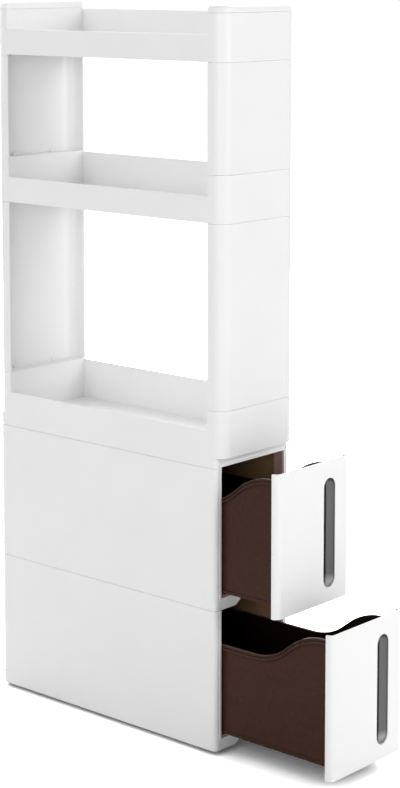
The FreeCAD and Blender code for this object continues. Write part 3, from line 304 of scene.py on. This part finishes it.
def moulded_plastic(name, look):
    """Injection-moulded plastic: mottling, uneven gloss, fine grain and slight waviness."""
    material, tree, shader = new_material(name)
    tone = ramp(tree, noise(tree, **MOTTLE), MOTTLE_RANGE, RISING)
    color = blend_colors(tree, tone, look["shade"], look["color"])
    tree.links.new(color, shader.inputs["Base Color"])
    spread = (look["roughness"] - look["uneven"], look["roughness"] + look["uneven"])
    gloss = ramp(tree, noise(tree, **GLOSS), GLOSS_RANGE, spread)
    tree.links.new(gloss, shader.inputs["Roughness"])
    shader.inputs["IOR"].default_value = PLASTIC_IOR
    shader.inputs["Specular IOR Level"].default_value = look["shine"]
    fine = noise(tree, **GRAIN)
    wave = noise(tree, **WAVE)
    bump(tree, shader, [(wave, WAVE_DEPTH, look["wavy"]), (fine, GRAIN_DEPTH, look["grain"])])
    return material


def turned_steel():
    """Plated steel with fine turning marks."""
    material, tree, shader = new_material("steel")
    lines = noise(tree, **TURNING)
    shader.inputs["Metallic"].default_value = 1.0
    tone = ramp(tree, lines, TURNING_RANGE, RISING)
    darker = tuple(STEEL_SHADE * channel for channel in STEEL_COLOR)
    tree.links.new(blend_colors(tree, tone, darker, STEEL_COLOR), shader.inputs["Base Color"])
    spread = (STEEL_ROUGHNESS - STEEL_UNEVEN, STEEL_ROUGHNESS + STEEL_UNEVEN)
    tree.links.new(ramp(tree, lines, TURNING_RANGE, spread), shader.inputs["Roughness"])
    bump(tree, shader, [(lines, TURNING_DEPTH, TURNING_STRENGTH)])
    return material


def paint_liner_lit_strip(material):
    """Pinker strip at the front edge, made lighter with painted light where light falls in at the
    opening.
    """
    overlay_band(material, "Y", LINER_LIT_STRIP_END, FALLING, LINER_LIT_STRIP_COLOR)


def paint_bin_shade_and_highlight(material):
    """Painted shade in grooves and creases and over the inside, and a painted highlight on faces
    that point up.
    """
    tree = material.node_tree
    near = openness(tree, BIN_CREASE_SHADE_REACH, BIN_CREASE_SHADE_SAMPLES, True)
    # painted shade in grooves and creases
    painted_crease_shade = ramp(tree, near, BIN_CREASE_SHADE_RANGE, (BIN_CREASE_SHADE_STRENGTH, 0.0))
    overlay(material, painted_crease_shade, BIN_PAINTED_SHADE_COLOR)
    # painted highlight on faces that point up
    overlay(material, ramp(tree, upward(tree), BIN_TOP_HIGHLIGHT_RANGE, RISING), BIN_TOP_HIGHLIGHT_COLOR)
    # painted shade over the inside, all but the outermost strips of the width
    off_middle = math_node(tree, "SUBTRACT", across(tree, "X"), 0.5)
    from_middle = math_node(tree, "ABSOLUTE", off_middle)
    overlay(material, ramp(tree, from_middle, BIN_INSIDE_SHADE_END, FALLING), BIN_PAINTED_SHADE_COLOR)


def paint_pull_light_and_shade(material):
    """Painted shade in the pocket, on the left rim and at the head, and painted light on the
    foot.
    """
    # painted shade in the pocket
    overlay_band(material, "Y", PULL_POCKET_SHADE_START, RISING, PULL_PAINTED_SHADE_COLOR)
    # painted shade along the left rim
    overlay_band(material, "X", PULL_LEFT_RIM_SHADE, FALLING, PULL_PAINTED_SHADE_COLOR)
    # painted light on the foot
    overlay_band(material, "Z", PULL_FOOT_LIGHT, FALLING, PULL_FOOT_LIGHT_COLOR)
    # painted shade at the head
    overlay_band(material, "Z", PULL_HEAD_SHADE, (0.0, PULL_HEAD_SHADE_STRENGTH), PULL_PAINTED_SHADE_COLOR)


def paint(material, endings):
    """Give the CAD nodes with these endings one material on every slot."""
    for name in NODES:
        if name.endswith(endings):
            mesh = NODES[name].data
            mesh.materials.clear()
            mesh.materials.append(material)


def finishes():
    """Make each finish and paint the CAD nodes that wear it."""
    # The liner, bin and pull finishes get painted light and shade laid over them
    marks = {"brown_liner": paint_liner_lit_strip, "brown_bin": paint_bin_shade_and_highlight, "grey_pull": paint_pull_light_and_shade}
    for name, look in PLASTICS.items():
        material = moulded_plastic(name, look)
        if name in marks:
            marks[name](material)
        paint(material, look["worn_by"])
    paint(turned_steel(), STEEL_WORN_BY)


def camera():
    """Camera at the photograph's viewing angle."""
    data = bpy.data.cameras.new("camera")
    data.sensor_fit = "VERTICAL"
    data.sensor_height = SENSOR_HEIGHT
    data.lens = CAMERA_LENS
    data.shift_y = CAMERA_SHIFT_Y
    data.clip_end = CAMERA_CLIP_END
    place = bpy.data.objects.new("camera", data)
    bpy.context.scene.collection.objects.link(place)
    place.location = from_cart(CAMERA_PLACE)
    place.rotation_euler = (math.radians(90 - CAMERA_PITCH), 0.0, math.radians(-CAMERA_YAW))
    bpy.context.scene.camera = place


def any_of(tree, path, names):
    """1 where a ray is of any of the named kinds."""
    total = path.outputs[names[0]]
    for name in names[1:]:
        total = math_node(tree, "MAXIMUM", total, path.outputs[name])
    return total


def world():
    """Even studio surround: white where it is seen or mirrored, a plain level where it lights."""
    surround = bpy.data.worlds.new("studio")
    bpy.context.scene.world = surround
    surround.use_nodes = True
    tree = surround.node_tree
    background = tree.nodes["Background"]
    background.inputs["Color"].default_value = (1.0, 1.0, 1.0, 1.0)
    path = tree.nodes.new("ShaderNodeLightPath")
    seen = any_of(tree, path, ("Is Camera Ray", "Is Glossy Ray", "Is Transmission Ray"))
    level = ramp(tree, seen, WHOLE, (WORLD_LEVEL, 1.0))
    tree.links.new(level, background.inputs["Strength"])


def seen_floor(tree):
    """Floor's level to the camera, with a painted contact shadow: darker only where something
    stands close by.
    """
    near = openness(tree, FLOOR_PAINTED_SHADOW_REACH, FLOOR_PAINTED_SHADOW_SAMPLES, False)
    painted_contact_shadow = ramp(tree, near, WHOLE, (FLOOR_SEEN_PAINTED_SHADOW, FLOOR_SEEN_OPEN))
    return math_node(tree, "MULTIPLY", painted_contact_shadow, far_gain(tree))


def far_gain(tree):
    """Factor that keeps the floor white where it runs out of the lamps' reach."""
    geometry = tree.nodes.new("ShaderNodeNewGeometry")
    away = tree.nodes.new("ShaderNodeVectorMath")
    away.operation = "DISTANCE"
    tree.links.new(geometry.outputs["Position"], away.inputs[0])
    away.inputs[1].default_value = from_cart((0.0, 0.0, 0.0))
    return ramp(tree, away.outputs["Value"], FLOOR_FADE, (1.0, FLOOR_FAR_GAIN))


def floor():
    """White floor that keeps the cart's soft shadow from the lamps, deepened by a painted contact
    shadow close to the cart.
    """
    mesh = bpy.data.meshes.new("floor")
    reach = FLOOR_HALF_SIDE
    corners = [(-reach, -reach, 0), (reach, -reach, 0), (reach, reach, 0), (-reach, reach, 0)]
    mesh.from_pydata(corners, [], [(0, 1, 2, 3)])
    plane = bpy.data.objects.new("floor", mesh)
    bpy.context.scene.collection.objects.link(plane)
    material, tree, shader = new_material("floor_paper", "ShaderNodeBsdfDiffuse")
    path = tree.nodes.new("ShaderNodeLightPath")
    mirrored = any_of(tree, path, ("Is Glossy Ray", "Is Transmission Ray"))
    unseen = blend_colors(tree, mirrored, (FLOOR_ALBEDO,) * 3, (FLOOR_MIRRORED,) * 3)
    color = blend_colors(tree, path.outputs["Is Camera Ray"], unseen, seen_floor(tree))
    tree.links.new(color, shader.inputs["Color"])
    mesh.materials.append(material)


def softbox(name, place, size, power):
    """Large square area lamp aimed at the cart."""
    data = bpy.data.lights.new(name, "AREA")
    data.shape = "SQUARE"
    data.size = size
    data.energy = power
    lamp = bpy.data.objects.new(name, data)
    bpy.context.scene.collection.objects.link(lamp)
    lamp.location = from_cart(place)
    aim = from_cart((0.0, 0.0, LAMP_TARGET_HEIGHT)) - from_cart(place)
    lamp.rotation_euler = aim.to_track_quat("-Z", "Y").to_euler()


def lights():
    """Soft lamps in three rings round the cart."""
    for ring in LAMP_RINGS:
        for azimuth, power in ring["lamps"]:
            turn = math.radians(azimuth)
            reach = ring["distance"]
            place = (reach * math.sin(turn), -reach * math.cos(turn), ring["height"])
            softbox("%s_softbox_%d" % (ring["name"], azimuth), place, ring["size"], power)


bpy.context.scene.view_settings.view_transform = "Standard"
camera()
world()
floor()
lights()
finishes()
